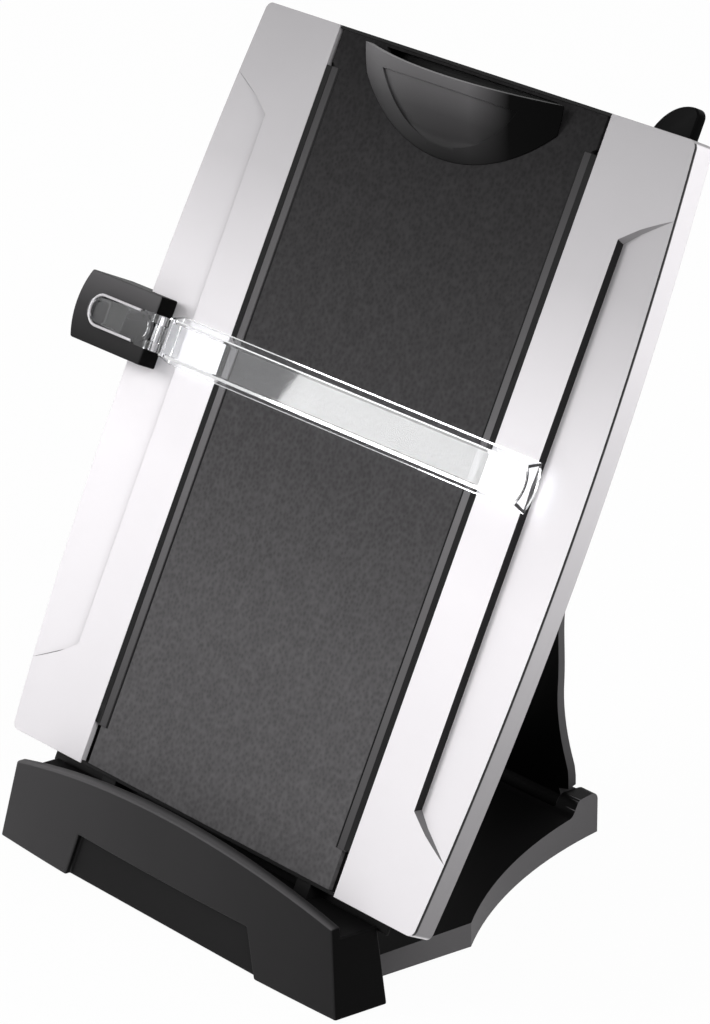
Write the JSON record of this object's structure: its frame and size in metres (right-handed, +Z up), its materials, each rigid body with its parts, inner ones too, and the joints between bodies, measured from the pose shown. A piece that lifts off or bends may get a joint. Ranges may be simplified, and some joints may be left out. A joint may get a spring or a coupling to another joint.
{
  "type": "copy holder with line guide",
  "caption": "Desk copy holder: leaning easel on a front tray and waisted base, with a scoop clip, a clear sliding line guide and a pull-up memo board.",
  "frame": {"origin": "on the desk surface, at the middle of the resting footprint: half way between the front of the tray and the back of the base plate, on the plane of symmetry of the base", "axes": "+Z up from the desk, +X to the right as the reader faces the board, +Y away from the reader, towards the support leg"},
  "size_m": [0.29, 0.187, 0.3135],
  "materials": {
    "tray_plastic": "fine satin grain",
    "plate_plastic": "fine satin grain",
    "foot_rubber": "soft matt",
    "steel": "plain bright",
    "dark_frame": "satin",
    "silver_plastic": "satin silver",
    "grained_panel": "leather grain",
    "gloss_black": "high gloss",
    "slider_plastic": "satin",
    "felt": "felt",
    "clear_plastic": "clear moulded acrylic",
    "memo_plastic": "smooth"
  },
  "bodies": {
    "base": {"base_tray": "tray_plastic", "base_plate": "plate_plastic", "base_feet": "foot_rubber", "base_screws": "steel", "leg_pin": "steel", "easel_pins": "steel"},
    "easel": {"easel_frame": "dark_frame", "rear_cover": "dark_frame", "side_panel_left": "silver_plastic", "side_panel_right": "silver_plastic", "center_panel": "grained_panel", "leg_track_left": "dark_frame", "leg_track_right": "dark_frame", "cover_screws": "steel", "clip_bracket": "dark_frame", "clip_pin": "steel"},
    "leg": {"support_leg": "plate_plastic", "leg_bar": "steel"},
    "clip": {"clip_lever": "gloss_black", "clip_pad": "foot_rubber", "clip_spring": "steel"},
    "slider": {"slider_front": "slider_plastic", "slider_back": "slider_plastic", "slider_brake": "felt", "slider_screws": "steel", "guide_tongue": "clear_plastic", "guide_pin": "steel"},
    "guide": {"line_guide": "clear_plastic"},
    "memo_board": {"memo_sheet": "memo_plastic", "memo_tab": "memo_plastic"}
  },
  "joints": [
    {"name": "easel_tilt", "type": "hinge", "parent": "base", "child": "easel", "pos_m": [0, -0.07207, 0.02483], "axis": [-1, 0, 0], "range_deg": [0, 20]},
    {"name": "leg_swing", "type": "hinge", "parent": "base", "child": "leg", "pos_m": [0, 0.0842, 0.0125], "axis": [-1, 0, 0], "range_deg": [0, 32.88]},
    {"name": "clip_press", "type": "hinge", "parent": "easel", "child": "clip", "pos_m": [0, 0.04619, 0.29738], "axis": [-1, 0, 0], "range_deg": [0, 15], "stiffness_Nm_per_rad": 0.15, "springref_deg": -11.46},
    {"name": "slider_run", "type": "slide", "parent": "easel", "child": "slider", "axis": [0, 0.4226, 0.9063], "range_m": [-0.11, 0.08]},
    {"name": "guide_swing", "type": "hinge", "parent": "slider", "child": "guide", "pos_m": [-0.1112, -0.01053, 0.18757], "axis": [0, -0.4226, -0.9063], "range_deg": [0, 95]},
    {"name": "memo_pull", "type": "slide", "parent": "easel", "child": "memo_board", "axis": [0, 0.4226, 0.9063], "range_m": [0, 0.15]}
  ],
  "couplings": [
    {"joint": "leg_swing", "follows": "easel_tilt", "ratio": 1.644}
  ]
}
